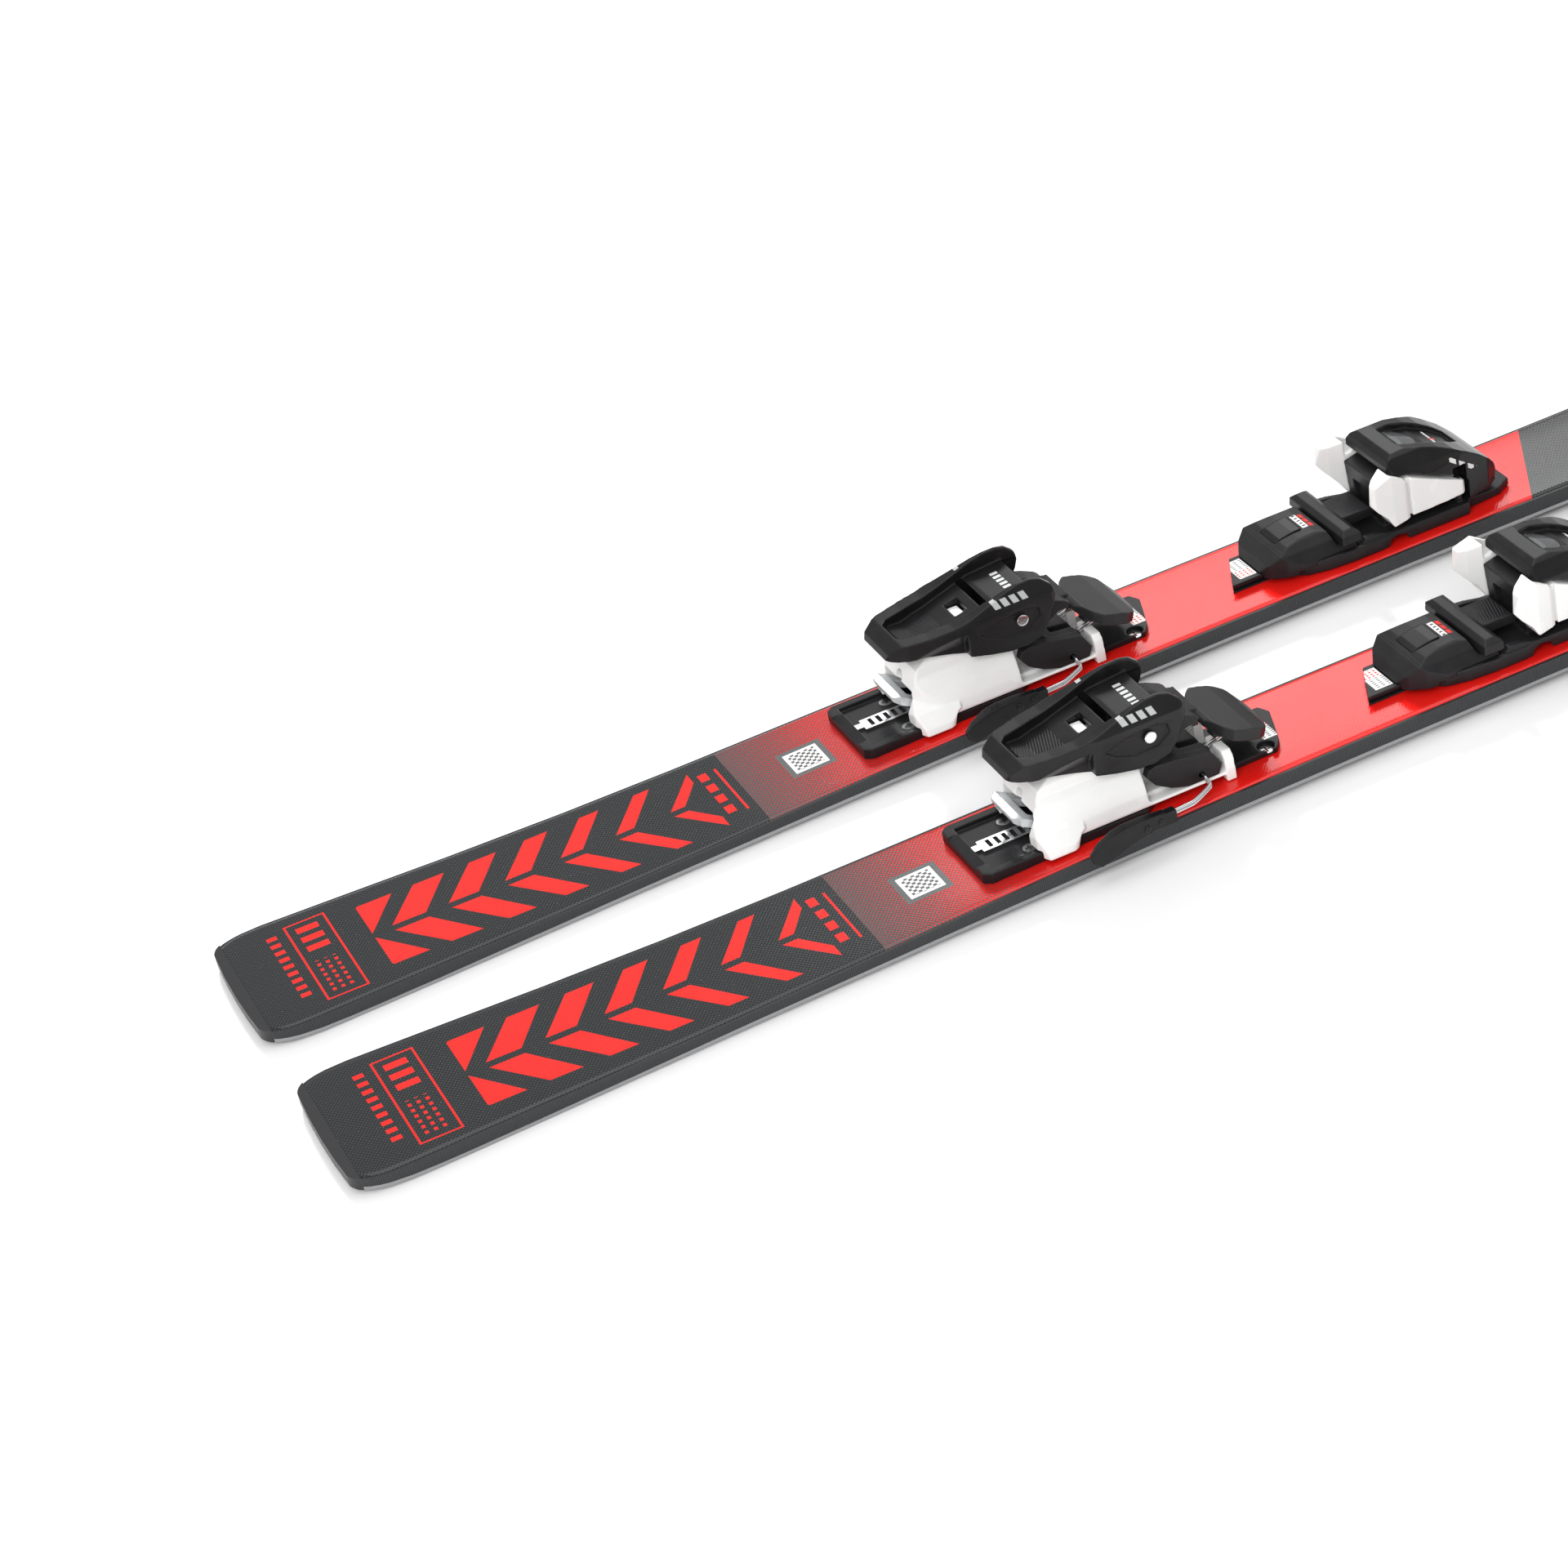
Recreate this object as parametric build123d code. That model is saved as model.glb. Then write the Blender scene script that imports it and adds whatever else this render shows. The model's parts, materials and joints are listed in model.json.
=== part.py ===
from build123d import *
import math
import os

# A pair of alpine skis with rail bindings, side by side on the floor, in millimetres.
# +X is to the right, +Y towards the tips and +Z up. The origin is on the floor, midway between
# the two skis and midway along them. One ski is modelled about its own centre line with y counted
# from its tail, and written twice, once for each foot.

# ---- Driving sizes of a ski ----
LENGTH = 1500.0            # straight length, tail to tip
TAIL_HALF = 49.0           # half of the sidecut 118 / 70 / 98
WAIST_HALF = 35.0
TIP_HALF = 59.0
TAIL_WIDEST_Y = 30.0
WAIST_Y = 660.0
TIP_WIDEST_Y = 1378.0
TAIL_CORNER = (38.0, 1.5)  # where the tail's end line meets its rounded corner
CONTACT_TAIL = (60.0, 95.0)      # stretches of the sole that touch the floor
CONTACT_TIP = (1305.0, 1345.0)
CAMBER = 4.0
CAMBER_Y = 705.0
TAIL_LIFT = 3.0
TIP_RADIUS = 250.0         # radius of the shovel's upward bend
SPACING = 140.0            # from one ski's centre line to the other's

# The ski's thickness at some places along it, from the sole to the top.
THICKNESS = [(0.0, 6.0), (150.0, 8.0), (400.0, 10.3), (705.0, 11.0), (1050.0, 9.4), (1345.0, 5.5)]

SOLE = 1.3                 # polyethylene running base
EDGE = 2.0                 # steel edge, square section
SIDEWALL = 6.0             # width of the sidewall strip
SKIN = 0.9                 # topsheet
SKIN_INSET = 1.5           # the topsheet is narrower than the sole by this much a side
GUARD_TAIL = 6.5           # length of the tail guard
GUARD_TIP = 9.0

# ---- Driving sizes of the bindings, y from the tail ----
HEEL_TRACK = (342.0, 522.0)
HEEL_TRACK_HALF = 26.0
HEEL_FRONT_HALF = 19.0     # the track is narrower ahead of the brake
HEEL_TRACK_TOP = 18.2
HEEL_BED = 15.8
TOE_TRACK = (569.0, 684.0)
TOE_TRACK_HALF = 13.0
TOE_TRACK_TOP = 20.0
GAP = 0.4                  # play between a sliding unit and its track
CLEAR = 0.05               # radial play of a shaft in its bore

RIVET = (440.0, 57.0)      # y and z of the lever's pivot
CUP_PIVOT = (446.0, 50.0)
BRAKE_PIVOT = (464.0, 24.0)
LATCH_PIVOT = (391.0, 25.0)
WING_PIVOT = (21.5, 699.0)
WIRE = 1.6                 # radius of the brake wire


# ---- Ways to make a solid ----
def polygon(points, radius=0.0):
    face = Polygon(*points, align=None)
    return fillet(face.vertices(), radius) if radius else face


def side(points, x0, x1, radius=0.0):
    """A (y, z) outline drawn from the side, from x0 to x1."""
    return Pos(x0, 0, 0) * extrude(Plane.YZ * polygon(points, radius), x1 - x0, dir=(1, 0, 0))


def plan(points, z0, z1, radius=0.0):
    """An (x, y) outline drawn from above, from z0 to z1."""
    return Pos(0, 0, z0) * extrude(polygon(points, radius), z1 - z0, dir=(0, 0, 1))


def front(points, y0, y1, radius=0.0):
    """An (x, z) outline drawn from the front, from y0 to y1."""
    return Pos(0, y0, 0) * extrude(Plane.XZ * polygon(points, radius), y1 - y0, dir=(0, 1, 0))


def both(points):
    """An outline that is the same left and right: the right half's points, then their mirror image."""
    return points + [(-x, v) for x, v in reversed(points) if abs(x) > 1e-6]


def box(x0, x1, y0, y1, z0, z1):
    return Pos((x0 + x1) / 2, (y0 + y1) / 2, (z0 + z1) / 2) * Box(x1 - x0, y1 - y0, z1 - z0)


def rod_x(y, z, radius, x0, x1):
    return Pos((x0 + x1) / 2, y, z) * Rot(0, 90, 0) * Cylinder(radius, x1 - x0)


def rod_y(x, z, radius, y0, y1):
    return Pos(x, (y0 + y1) / 2, z) * Rot(90, 0, 0) * Cylinder(radius, y1 - y0)


def rod_z(x, y, radius, z0, z1):
    return Pos(x, y, (z0 + z1) / 2) * Cylinder(radius, z1 - z0)


def mirrored(shape):
    return mirror(shape, about=Plane.YZ)


def pair(shape):
    """A right-hand shape and its mirror image."""
    return shape + mirrored(shape)


# ---- The ski ----
def sidecut(y):
    """Half width at y, two parabolas that meet at the waist."""
    if y < WAIST_Y:
        return WAIST_HALF + (TAIL_HALF - WAIST_HALF) * ((WAIST_Y - y) / (WAIST_Y - TAIL_WIDEST_Y)) ** 2
    return WAIST_HALF + (TIP_HALF - WAIST_HALF) * ((y - WAIST_Y) / (TIP_WIDEST_Y - WAIST_Y)) ** 2


def outline(inset):
    """The ski seen from above, moved in by inset all round, as a tall prism."""
    corner_x, corner_y = TAIL_CORNER
    tail = (corner_x - inset, corner_y + inset)
    hip = (TAIL_HALF - inset - 1.4, 13.0)
    widest = (TAIL_HALF - inset, TAIL_WIDEST_Y)
    mid_rear = (sidecut(330.0) - inset, 330.0)
    waist = (WAIST_HALF - inset, WAIST_Y)
    mid_front = (sidecut(1020.0) - inset, 1020.0)
    shoulder = (TIP_HALF - inset, TIP_WIDEST_Y)
    nose = (0.0, LENGTH - inset)
    edges = [
        ThreePointArc((-tail[0], tail[1]), (0, inset), tail),
        Spline([tail, hip, widest], tangents=[(1, 0.25), (0, 1)]),
        ThreePointArc(widest, mid_rear, waist),
        ThreePointArc(waist, mid_front, shoulder),
        Spline(
            [shoulder, (49.0 - inset * 0.9, 1444.0 - inset * 0.4), (27.0 - inset * 0.4, 1485.0 - inset * 0.9), nose],
            tangents=[(0, 1), (-1, 0)],
        ),
    ]
    right = edges[1:]
    face = make_face([*edges, *[mirror(e, about=Plane.YZ) for e in right]])
    return Pos(0, 0, -20) * extrude(face, 140, dir=(0, 0, 1))


def sole_z(y):
    """Height of the sole over the floor, from the tail to the front contact."""
    if y <= CONTACT_TAIL[0]:
        return TAIL_LIFT * ((CONTACT_TAIL[0] - y) / CONTACT_TAIL[0]) ** 2
    if y <= CONTACT_TAIL[1] or y >= CONTACT_TIP[0]:
        return 0.0
    reach = (CONTACT_TIP[0] - CAMBER_Y) if y > CAMBER_Y else (CAMBER_Y - CONTACT_TAIL[1])
    return CAMBER * (1 - ((y - CAMBER_Y) / reach) ** 2)


def top_points():
    return [(y, sole_z(y) + t) for y, t in THICKNESS]


def skyline(depth):
    """A tall prism that holds everything from the sole up to depth below the top surface."""
    last_y, last_z = top_points()[-1]
    radius = TIP_RADIUS - last_z
    turn = math.asin((LENGTH + 20 - last_y) / radius)
    end = (last_y + (radius + depth) * math.sin(turn), TIP_RADIUS - (radius + depth) * math.cos(turn))
    mid = (last_y + (radius + depth) * math.sin(turn / 2), TIP_RADIUS - (radius + depth) * math.cos(turn / 2))
    points = [(y, z - depth) for y, z in top_points()]
    start = (-10.0, points[0][1] - 0.1)
    edges = [
        Line((-10.0, -20.0), start),
        Line(start, points[0]),
        Spline(points, tangents=[(1, 0.02), (1, 0)]),
        ThreePointArc(points[-1], mid, end),
        Line(end, (end[0], -20.0)),
        Line((end[0], -20.0), (-10.0, -20.0)),
    ]
    return Pos(-90, 0, 0) * extrude(Plane.YZ * make_face(edges), 180, dir=(1, 0, 0))


def underside(height):
    """A tall prism that holds everything below height over the sole."""
    lift = TAIL_LIFT + height
    radius = TIP_RADIUS - height
    turn = math.asin((LENGTH + 20 - CONTACT_TIP[1]) / radius)
    end = (CONTACT_TIP[1] + radius * math.sin(turn), TIP_RADIUS - radius * math.cos(turn))
    mid = (CONTACT_TIP[1] + radius * math.sin(turn / 2), TIP_RADIUS - radius * math.cos(turn / 2))
    a, b = (y for y in CONTACT_TAIL)
    c, d = (y for y in CONTACT_TIP)
    edges = [
        Line((-10.0, -20.0), (-10.0, lift + 1.0)),
        Line((-10.0, lift + 1.0), (0.0, lift)),
        ThreePointArc((0.0, lift), (a / 2, sole_z(a / 2) + height), (a, height)),
        Line((a, height), (b, height)),
        ThreePointArc((b, height), (CAMBER_Y, CAMBER + height), (c, height)),
        Line((c, height), (d, height)),
        ThreePointArc((d, height), mid, end),
        Line(end, (end[0], -20.0)),
        Line((end[0], -20.0), (-10.0, -20.0)),
    ]
    return Pos(-90, 0, 0) * extrude(Plane.YZ * make_face(edges), 180, dir=(1, 0, 0))


def between_guards():
    return box(-90, 90, GUARD_TAIL, LENGTH - GUARD_TIP, -20, 120)


def make_ski(fasteners):
    full = outline(0.0)
    edge_inner = outline(EDGE)
    wall_inner = outline(SIDEWALL)
    over_sole = underside(0.0)
    over_base = underside(SOLE)
    over_edge = underside(EDGE)
    under_skin = skyline(SKIN)
    under_top = skyline(0.0)
    middle = between_guards()
    base = (edge_inner & over_base) - over_sole
    edges = ((full & over_edge) - over_sole - edge_inner) & middle
    body = (full & under_skin) - over_base
    core = (body & wall_inner & middle) - fasteners
    sidewalls = (body & middle) - wall_inner - edges
    topsheet = (((outline(SKIN_INSET) & under_top) - under_skin) & middle) - fasteners
    base = base & middle
    guards = ((full & under_top) - over_sole) - middle
    return {
        "base": base,
        "edges": edges,
        "sidewalls": sidewalls,
        "core": core,
        "topsheet": topsheet,
        "end_guards": guards,
    }


# ---- Screws that hold the tracks ----
SCREW_HEAD = 3.6
SCREW_SHANK = 1.9
SCREW_LENGTH = 10.0        # the tips end in the core, over the base
HEEL_SCREWS = [(sx * 14.5, y) for y in (372.0, 440.0, 505.0) for sx in (-1, 1)]
TOE_SCREWS = [(0.0, 612.0), (0.0, 644.0), (0.0, 676.0)]


def screw(x, y, top):
    head = rod_z(x, y, SCREW_HEAD, top - 2.2, top)
    shank = rod_z(x, y, SCREW_SHANK, top - SCREW_LENGTH, top - 2.2)
    cross = box(x - 2.2, x + 2.2, y - 0.4, y + 0.4, top - 1.2, top + 1) + box(
        x - 0.4, x + 0.4, y - 2.2, y + 2.2, top - 1.2, top + 1
    )
    return head + shank, cross


def make_screws():
    """The screws with their cross slots, and the same screws unslotted, to cut holes with."""
    places = [(x, y, HEEL_BED) for x, y in HEEL_SCREWS] + [(x, y, TOE_TRACK_TOP - 1.0) for x, y in TOE_SCREWS]
    plain, slots = zip(*[screw(*place) for place in places])
    blank = Compound(children=list(plain))
    cut = [p - s for p, s in zip(plain, slots)]
    return Compound(children=cut), blank


# ---- Tracks ----
def make_heel_track(ski_envelope, blank_screws):
    y0, y1 = HEEL_TRACK
    half, slim = HEEL_TRACK_HALF, HEEL_FRONT_HALF
    shape = plan(
        [
            (-half + 3, y0), (half - 3, y0), (half, y0 + 4), (half, 432), (slim, 440),
            (slim, y1 - 13), (slim - 5, y1 - 9), (-slim + 7, y1), (-slim, y1 - 3), (-slim, 440), (-half, 432),
            (-half, y0 + 4),
        ],
        9.0, HEEL_TRACK_TOP,
    )
    bed = plan([(-21, y0 + 6), (21, y0 + 6), (21, 432), (14.5, 440), (14.5, 478), (-14.5, 478),
                (-14.5, 440), (-21, 432)], HEEL_BED, 30)
    rear_notch = side([(y0 - 1, 30), (y0 - 1, 16.6), (y0 + 7, 18.3), (y0 + 7, 30)], -16, 16)
    screw_wells = [rod_z(x, y, SCREW_HEAD + 0.8, HEEL_BED, 30) for x, y in HEEL_SCREWS]
    track = shape - bed - rear_notch - ski_envelope - blank_screws
    for well in screw_wells:
        track = track - well
    return track


LADDER_HALF = 5.0
LADDER = (352.0, 470.0)
LADDER_PITCH = 4.5


def make_ladder():
    y0, y1 = LADDER
    strip = box(-LADDER_HALF, LADDER_HALF, y0, y1, HEEL_BED, HEEL_BED + 1.4)
    tongue = box(-2.4, 2.4, y0 - 4, y0, HEEL_BED, HEEL_BED + 1.4)
    strip = strip + tongue
    count = int((y1 - y0 - 8) / LADDER_PITCH)
    for i in range(count):
        y = y0 + 4 + i * LADDER_PITCH
        strip = strip - box(-3.4, 3.4, y, y + 2.2, HEEL_BED - 1, HEEL_BED + 3)
    return strip


def make_toe_track(ski_envelope, blank_screws):
    y0, y1 = TOE_TRACK
    half = TOE_TRACK_HALF
    shape = plan([(-half, y0 + 8), (half, y0 - 4), (half, y1), (-half, y1)], 9.0, TOE_TRACK_TOP)
    ramp = side([(y0 - 10, 13), (y0 - 3, 22), (y0 - 10, 22)], -half - 1, half + 1)
    groove = box(-half - 1, -half + 2.5, y0 - 9, y1 + 1, 16.0, 18.0)
    wells = [rod_z(x, y, SCREW_HEAD + 0.5, TOE_TRACK_TOP - 1.0, 30) for x, y in TOE_SCREWS]
    track = shape - ramp - groove - mirrored(groove) - ski_envelope - blank_screws
    for well in wells:
        track = track - well
    return track


# ---- Heel unit ----
def spring(y0, y1, z, radius, wire, turns):
    """A coil spring along Y, its ends cut flat."""
    coil = Helix(pitch=(y1 - y0) / turns, height=y1 - y0, radius=radius)
    start = coil @ 0
    section = Plane(origin=start, z_dir=coil % 0) * Circle(wire)
    body = sweep(section, path=coil, is_frenet=True)
    return Pos(0, y0, z) * Rot(-90, 0, 0) * body


HEEL_SPRING = (397.0, 428.0, 37.0)      # from y, to y, height
HEEL_SCREW_Z = 37.0


def make_heel_housing():
    """The white body that slides on the rear track, with a foot over the track's lip on each side."""
    floor = HEEL_TRACK_TOP + GAP
    body = side(
        [(376, floor), (434, floor), (434, 38), (431, 47.5), (424, 51.0), (388, 51.0), (380.5, 46.5), (375.5, 34)],
        -27, 27,
    )
    body = body & front(
        both([(0, 52), (14.2, 52), (17.0, 47.5), (17.4, 42.0), (19.8, 38.6), (22.8, 32), (24.8, 25.5),
              (25.7, 20.5), (25.7, floor)]),
        360, 440,
    )
    body = body & plan(both([(16.5, 375), (21.5, 381), (25.8, 394), (25.8, 436)]), 10, 60)
    deck = box(-18.8, 18.8, 430, 477, floor, 22.0)
    sill = side([(430, floor), (430, 24), (436, 20.3), (482, 20.3), (482, floor)], 18.6, 25.7)
    wall = front([(5, floor), (5, 31.0), (23.0, 31.0), (25.4, 28), (26, 22), (26, 15.0), (19.6, 15.0),
                  (19.6, floor)], 476.8, 482)
    foot = front(
        [(8, floor), (8, 31), (17.5, 31), (25.0, 25.5), (30.0, 18.5), (31, 14.6), (HEEL_TRACK_HALF + GAP, 14.6),
         (HEEL_TRACK_HALF + GAP, floor)],
        371.5, 398,
    )
    foot = foot & plan([(4, 375), (12, 371.5), (24, 372.5), (31, 376), (31, 389), (27, 398), (4, 398)], 5, 40)
    toe = side([(371.5, 10), (371.5, 23.5), (375.5, 31.5), (398, 31.5), (398, 22.5), (394.5, 20.5), (390, 10)], 4, 40)
    foot = foot & toe
    tower = side([(430, 21.0), (430, 44), (440.2, 48), (440.5, 52.5), (443.5, 55.5), (448.5, 55.5), (451.5, 52.5),
                  (452.5, 47), (452.5, 21.0)], -8.5, 8.5)
    boss = box(-6.2, 6.2, 411.8, 417.9, 50, 60.6)
    body = body + deck + pair(sill) + pair(wall) + pair(foot) + tower + boss
    nest = side([(360, 10), (394.8, 10), (394.8, 28.6), (381, 31.8), (374.5, 37), (360, 45)], -16.6, 16.6)
    body = body - nest
    spring_y0, spring_y1, spring_z = HEEL_SPRING
    body = body - rod_y(0, spring_z, 5.7, spring_y0 - 1.3, spring_y1 + 1.3)
    body = body - rod_y(0, HEEL_SCREW_Z, 3.4 + CLEAR, 370, spring_y0)
    slider = box(-LADDER_HALF - 1, LADDER_HALF + 1, 440, 500, 10, 20)
    pivot = rod_x(*CUP_PIVOT, 3.0 + CLEAR, -30, 30)
    latch_bore = rod_x(*LATCH_PIVOT, 2.0 + CLEAR, -20, 20)
    loop_slot = box(-6, 6, 474, 500, 21, 60)
    body = body - slider - pivot - latch_bore - loop_slot
    for s in (-1, 1):
        body = body - box(s * 10 - 3.4, s * 10 + 3.4, 456, 500, 20.5, 60)
    return body


def make_latch():
    y, z = LATCH_PIVOT
    blade = side([(y + 2.5, z - 3), (y + 3, z + 2.4), (380, 28.4), (371, 34.0), (366.5, 33.5), (367, 30.8),
                  (378, 25.0), (384, 22.2)], -15.5, 15.5)
    waist = plan(both([(11, 366), (15.5, 370), (15.5, 395)]), 10, 50)
    hollow = box(-8.5, 8.5, 376, 386, 10, 50)
    tooth = box(-3.0, 3.0, 385.5, 390.0, 19.6, 24)
    pins = rod_x(y, z, 2.0, -19.0, 19.0)
    return ((blade & waist) - hollow) + tooth + pins


def make_heel_screw():
    spring_y0 = HEEL_SPRING[0]
    stem = rod_y(0, HEEL_SCREW_Z, 3.4, 380.0, spring_y0 - 1.6)
    slot = box(-4.5, 4.5, 379, 381.5, HEEL_SCREW_Z - 0.5, HEEL_SCREW_Z + 0.5)
    return stem - slot


def make_cup():
    """The jaw that holds the boot's heel, between the lever's cheeks."""
    y, z = CUP_PIVOT
    cheek = side([(434, 47), (434, 60), (437, 62.8), (444, 63), (452, 60.5), (461, 57.5), (464, 54), (463, 50),
                  (456, 46), (450, 44.5)], 9.2, 19.6)
    bridge = side([(456.5, 50), (456.5, 58.6), (462, 57), (468, 54.2), (470, 52.5), (468, 50)], -19.6, 19.6)
    lip = side([(460, 52), (471.5, 51.5), (472.5, 53.5), (460, 56)], -13, 13)
    body = pair(cheek) + bridge + lip
    body = body - rod_x(*RIVET, 2.5, -30, 30)
    return body + rod_x(y, z, 3.0, -9.2, 9.2)


def make_rivet():
    y, z = RIVET
    shaft = rod_x(y, z, 2.5, -24.8, 24.8)
    head = rod_x(y, z, 3.3, 24.7, 26.2)
    return shaft + pair(head)


def make_lever():
    """The opening lever: a boat-shaped handle with a scoop, a window, two fins and a cheek on each side."""
    body = side(
        [(366.5, 57.0), (368.5, 60.5), (375, 64.2), (390, 65.0), (403, 66.2), (413, 68.2), (424, 71.2),
         (434, 74.2), (442, 75.8), (449, 76.0), (455, 74.2), (459.6, 70.0), (461.0, 64.5), (459.2, 59.5),
         (456.8, 56.0), (455.4, 51.5), (453.0, 46.6), (449, 42.8), (441, 40.6), (431, 41.2), (421, 43.4),
         (410, 46.6), (400, 50.0), (384, 54.2), (372, 55.4)],
        -27, 27,
    )
    shape = plan(
        both([(12, 366), (15.5, 368.5), (20, 378), (23.4, 392), (25.8, 412), (25.8, 458), (24.4, 462)]),
        30, 100,
    )
    flanks = front(
        both([(0, 90), (18.6, 90), (21.6, 75.6), (25.8, 66.0), (25.4, 58.0), (24.6, 44), (24.4, 30)]), 360, 480
    )
    body = body & shape & flanks
    channel = side(
        [(376.5, 90), (376.5, 63.0), (379.5, 60.2), (388, 58.8), (402, 60.8), (418, 64.4), (430, 67.4),
         (451, 68.6), (451, 60), (470, 60), (470, 90)],
        -20, 20,
    )
    channel = channel & plan(
        both([(8.0, 376), (12.0, 380), (15.0, 395), (17.2, 413), (18.8, 430), (19.4, 452), (19.4, 472)]), 30, 100
    )
    under = box(-20.4, 20.4, 424, 480, 30, 66.6)
    belly = side([(372, 30), (372, 54.5), (398, 56.5), (426, 62), (426, 30)], -18.5, 18.5)
    recess = side(
        [(415, 58.2), (428, 61.4), (443, 62.8), (450, 60.5), (451, 55), (444, 50.0), (431, 49.4), (421, 53.2)],
        24.1, 40,
    )
    keel = front([(19.5, 30), (40, 30), (40, 60.5), (24.4, 60.5), (19.5, 53.5)], 360, 409)
    body = body - under - belly - channel - pair(recess) - pair(keel)
    body = body - box(-7.0, 7.0, 411, 418.6, 40, 80)
    return body - rod_x(*RIVET, 2.5 + CLEAR, -40, 40)


def make_brake_base():
    """The black block over the housing's front that carries the brake's wires."""
    y, z = BRAKE_PIVOT
    cheek = side([(435.2, 34), (439, 28.5), (447, 23.5), (456, 20.5), (473.5, 20.5), (475.8, 26), (471, 34.4),
                  (452, 38.2), (441, 39.4), (437, 38.4)], 19.2, 25.0)
    bridge = side([(441, 33), (441, 38.5), (453, 38.5), (456, 36), (471.0, 34.2), (473.2, 30.2), (460, 30.0),
                   (456, 33)], -19.2, 19.2)
    pillar = box(15.3, 19.2, 458, 473, 22.0, 33)
    body = pair(cheek) + bridge + pair(pillar)
    body = body - box(-9.0, 9.0, 420, 455, 30, 60)
    body = body - rod_x(y, z, WIRE + CLEAR, -40, 40)
    for s in (-1, 1):
        body = body - box(s * 10 - 2.6, s * 10 + 2.6, 459, 500, 20, 60)
    return body - box(-6, 6, 471, 500, 20, 60)


def wire(points, bends, radius=WIRE):
    path = FilletPolyline(*points, radius=bends)
    start = Plane(origin=path @ 0, z_dir=path % 0)
    return sweep(start * Circle(radius), path=path)


PAD_TILT = 18.0
PAD_MID = (493.0, 36.6)
ARM_X = 39.0               # the arms clear the ski's edge when they swing down


def make_brake_arms():
    y, z = BRAKE_PIVOT
    right = wire(
        [(10.0, y + 26.0, z + 9.5), (10.0, y, z), (28.0, y, z), (31.0, y + 1.5, z - 3.6),
         (ARM_X, y - 13, z - 3.6), (ARM_X + 1.2, y - 58, z - 4.5)],
        [5.0, 1.8, 1.8, 5.0],
    )
    return Compound(children=[right, mirrored(right)])


def make_brake_link():
    """The wire hoop under the pedal's front."""
    return wire([(-3.2, 499, 31), (-3.2, 503, 23), (3.2, 503, 23), (3.2, 499, 31)], [3.0, 3.0], 1.4)


def make_pad(arms):
    """The pedal that the boot's heel presses down."""
    slab = side([(-17.5, -2.6), (-17.5, 0.4), (-15, 1.8), (2, 2.2), (11, 1.0), (16, -1.4), (17.4, -4.2),
                 (15, -5.6), (8, -4.6), (-4, -4.4), (-14, -4.0)], -27, 27)
    slab = slab & plan(
        both([(9, -17.5), (20, -12.5), (25.0, -8.5), (25.6, -3), (25.0, 6), (22, 10.5), (11, 15.5), (0, 17.5)]),
        -20, 20,
    )
    lug = pair(box(6.6, 13.4, -13.5, 2, -7.2, -3.0))
    tilt = Pos(0, *PAD_MID) * Rot(-PAD_TILT, 0, 0)
    return (tilt * (slab + lug)) - arms


def make_blades(arms):
    """The plastic claws on the brake wires' ends."""
    y, z = BRAKE_PIVOT
    sleeve = box(38.2, 43.2, y - 38, y - 24, z - 7.2, z - 0.4)
    claw = side(
        [(y - 30, z + 0.2), (y - 42, z + 1.2), (y - 52, z + 1.4), (y - 60, z + 0.2), (y - 68, z - 2.6),
         (y - 72.5, z - 6.5), (y - 71.5, z - 11.5), (y - 68, z - 14.2), (y - 62, z - 12.8), (y - 52, z - 9.6),
         (y - 42, z - 7.8), (y - 30, z - 7.0)],
        32, 46,
    )
    claw = claw & plan(
        [(38.3, y - 28), (42.8, y - 28), (43.8, y - 42), (45.0, y - 58), (45.0, y - 74), (42.2, y - 74),
         (38.8, y - 58), (38.5, y - 42)],
        0, 60,
    )
    bumps = rod_x(y - 33, z - 3.6, 1.5, 42, 44.2) + rod_x(y - 41, z - 3.8, 1.7, 42, 45.0)
    claw = claw + bumps
    blade = (sleeve + claw) - arms
    return Compound(children=[blade, mirrored(blade)])


# ---- Toe unit ----
TOE_SPRING = (668.0, 700.0, 31.0)
TOE_SCREW_Z = 31.0


def make_toe_frame():
    low = 15.4
    base = plan(
        both([(20.5, 600), (24, 604), (27.0, 616), (28.2, 630), (28.2, 648), (27.2, 656), (27, 668), (27, 702),
              (21.5, 706), (20, 725), (14, 734)]),
        low, 22.5,
    )
    slope = side([(598, 15), (598, 17.5), (604, 22.5), (700, 22.5), (716, 20.5), (734, 19.5), (734, 15)], -40, 40)
    base = base & slope
    rail = side([(634, 20), (639, 26.0), (645, 25.4), (655, 23.2), (668, 22.6), (668, 20)], 23.4, 27.2)
    tower = side([(656, 20), (654, 48), (662, 50), (690, 47.5), (712, 38.5), (717, 30), (717, 20)], -17.6, 17.6)
    wall = plan(both([(17.6, 654), (17.6, 690), (14, 717)]), 10, 80)
    body = base + pair(rail) + (tower & wall)
    body = body - box(-TOE_TRACK_HALF - GAP, TOE_TRACK_HALF + GAP, 590, 706, 0, TOE_TRACK_TOP + GAP)
    hook = box(11.2, TOE_TRACK_HALF + GAP, 602, 704, 16.4, 17.6)
    arch = side([(650.5, 10), (653.5, 18.6), (657.5, 20.0), (663, 19.0), (667.5, 10)], 19.5, 40)
    body = (body - pair(arch)) + pair(hook)
    body = body - box(-11, 11, 718.5, 728, 0, 40)
    pocket = box(-25, 25, 598, 635.8, 19.5, 40)
    body = body - pocket
    bay = box(-10, 10, 634, 657, 22.0, 40)
    body = body - bay
    spring_y0, spring_y1, spring_z = TOE_SPRING
    body = body - rod_y(0, spring_z, 7.0, spring_y0 - 1.3, spring_y1 + 1.3)
    body = body - rod_y(0, TOE_SCREW_Z, 4.5 + CLEAR, spring_y1, 730)
    return body + pair(rod_z(*WING_PIVOT, 2.0, 20, 37.6))


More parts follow.
